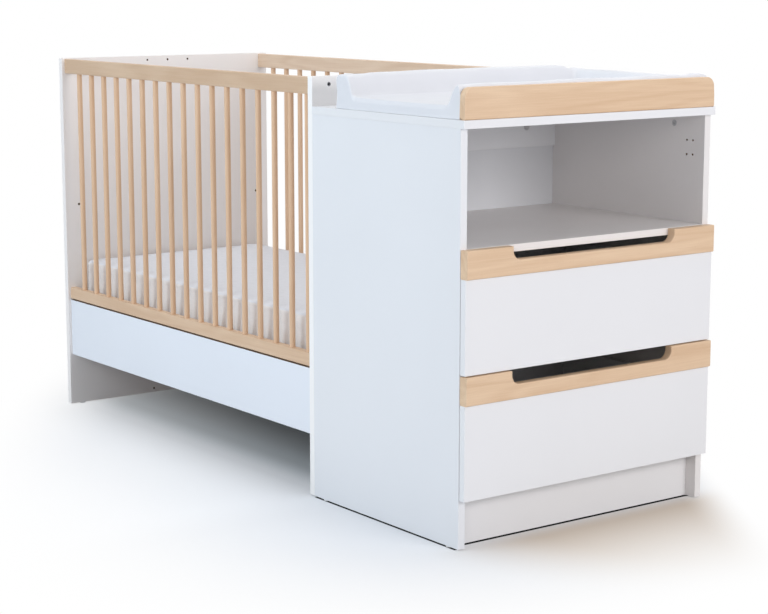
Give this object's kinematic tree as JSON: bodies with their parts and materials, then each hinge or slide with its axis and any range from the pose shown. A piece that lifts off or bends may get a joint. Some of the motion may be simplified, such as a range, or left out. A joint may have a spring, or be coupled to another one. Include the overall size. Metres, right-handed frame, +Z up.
{
  "type": "crib with attached changing chest",
  "caption": "Baby crib with barred sides and a slatted base, joined at one end to a chest with an open shelf, two drawers and a padded changing mat on top.",
  "frame": {"origin": "centre of the bounding box in plan, on the floor under the glides", "axes": "+X along the crib's length towards the drawer fronts, +Y from the near long side to the back, +Z up"},
  "size_m": [1.8076, 0.728, 0.9938],
  "materials": {
    "white_board": "satin white melamine",
    "beech": "satin clear lacquer",
    "base_wood": "plain planed wood",
    "hardboard": "white lacquered hardboard",
    "steel": "zinc plated",
    "runner_steel": "white powder coat",
    "nylon": "plain nylon",
    "glide_plastic": "white plastic",
    "mattress_cover": "white fitted cotton cover",
    "mat_cover": "smooth white coated cloth"
  },
  "bodies": {
    "frame": {"far_end_panel": "white_board", "shared_end_panel": "white_board", "near_top_rail": "beech", "back_top_rail": "beech", "near_bottom_rail": "beech", "back_bottom_rail": "beech", "near_bars": "beech", "back_bars": "beech", "near_lower_board": "white_board", "back_lower_board": "white_board", "base_near_beam": "base_wood", "base_back_beam": "base_wood", "base_slats": "base_wood", "slat_screws": "steel", "base_bolts": "steel", "base_barrel_nuts": "steel", "crib_cams": "steel", "crib_cam_bolts": "steel", "crib_glides": "glide_plastic", "panel_inserts": "steel", "chest_near_side": "white_board", "chest_far_side": "white_board", "top_slab": "white_board", "front_board": "beech", "upper_stretcher": "white_board", "lower_stretcher": "white_board", "back_panel": "hardboard", "shelf": "white_board", "plinth": "white_board", "chest_glides": "glide_plastic", "chest_cams": "steel", "chest_cam_bolts": "steel", "chest_dowels": "base_wood", "link_bolts": "steel", "chest_runners": "runner_steel", "runner_screws": "steel"},
    "upper_drawer": {"upper_drawer_front": "white_board", "upper_drawer_strip": "beech", "upper_drawer_near_side": "white_board", "upper_drawer_far_side": "white_board", "upper_drawer_back": "white_board", "upper_drawer_bottom": "hardboard", "upper_drawer_runners": "runner_steel", "upper_drawer_fittings": "steel", "upper_drawer_dowels": "base_wood"},
    "lower_drawer": {"lower_drawer_front": "white_board", "lower_drawer_strip": "beech", "lower_drawer_near_side": "white_board", "lower_drawer_far_side": "white_board", "lower_drawer_back": "white_board", "lower_drawer_bottom": "hardboard", "lower_drawer_runners": "runner_steel", "lower_drawer_fittings": "steel", "lower_drawer_dowels": "base_wood"},
    "mattress": {"mattress": "mattress_cover"},
    "changing_mat": {"changing_mat": "mat_cover"},
    "upper_front_rollers_pair": {"upper_front_rollers": "nylon"},
    "upper_rear_rollers_pair": {"upper_rear_rollers": "nylon"},
    "lower_front_rollers_pair": {"lower_front_rollers": "nylon"},
    "lower_rear_rollers_pair": {"lower_rear_rollers": "nylon"}
  },
  "joints": [
    {"name": "upper_drawer_slide", "type": "slide", "parent": "frame", "child": "upper_drawer", "axis": [1, 0, 0], "range_m": [0, 0.34]},
    {"name": "lower_drawer_slide", "type": "slide", "parent": "frame", "child": "lower_drawer", "axis": [1, 0, 0], "range_m": [0, 0.34]},
    {"name": "mattress_lift", "type": "slide", "parent": "frame", "child": "mattress", "axis": [0, 0, 1], "range_m": [0, 0.7]},
    {"name": "mat_lift", "type": "slide", "parent": "frame", "child": "changing_mat", "axis": [0, 0, 1], "range_m": [0, 0.1]},
    {"name": "upper_front_roller_spin", "type": "hinge", "parent": "frame", "child": "upper_front_rollers_pair", "pos_m": [0.86675, 0, 0.41415], "axis": [0, 1, 0], "range_deg": [0, 2600]},
    {"name": "upper_rear_roller_spin", "type": "hinge", "parent": "upper_drawer", "child": "upper_rear_rollers_pair", "pos_m": [0.44375, 0, 0.41415], "axis": [0, 1, 0], "range_deg": [0, 2600]},
    {"name": "lower_front_roller_spin", "type": "hinge", "parent": "frame", "child": "lower_front_rollers_pair", "pos_m": [0.86675, 0, 0.14315], "axis": [0, 1, 0], "range_deg": [0, 2600]},
    {"name": "lower_rear_roller_spin", "type": "hinge", "parent": "lower_drawer", "child": "lower_rear_rollers_pair", "pos_m": [0.44375, 0, 0.14315], "axis": [0, 1, 0], "range_deg": [0, 2600]}
  ],
  "couplings": [
    {"joint": "upper_front_roller_spin", "follows": "upper_drawer_slide", "rad_per_m": 133.33},
    {"joint": "upper_rear_roller_spin", "follows": "upper_drawer_slide", "rad_per_m": 133.33},
    {"joint": "lower_front_roller_spin", "follows": "lower_drawer_slide", "rad_per_m": 133.33},
    {"joint": "lower_rear_roller_spin", "follows": "lower_drawer_slide", "rad_per_m": 133.33}
  ]
}
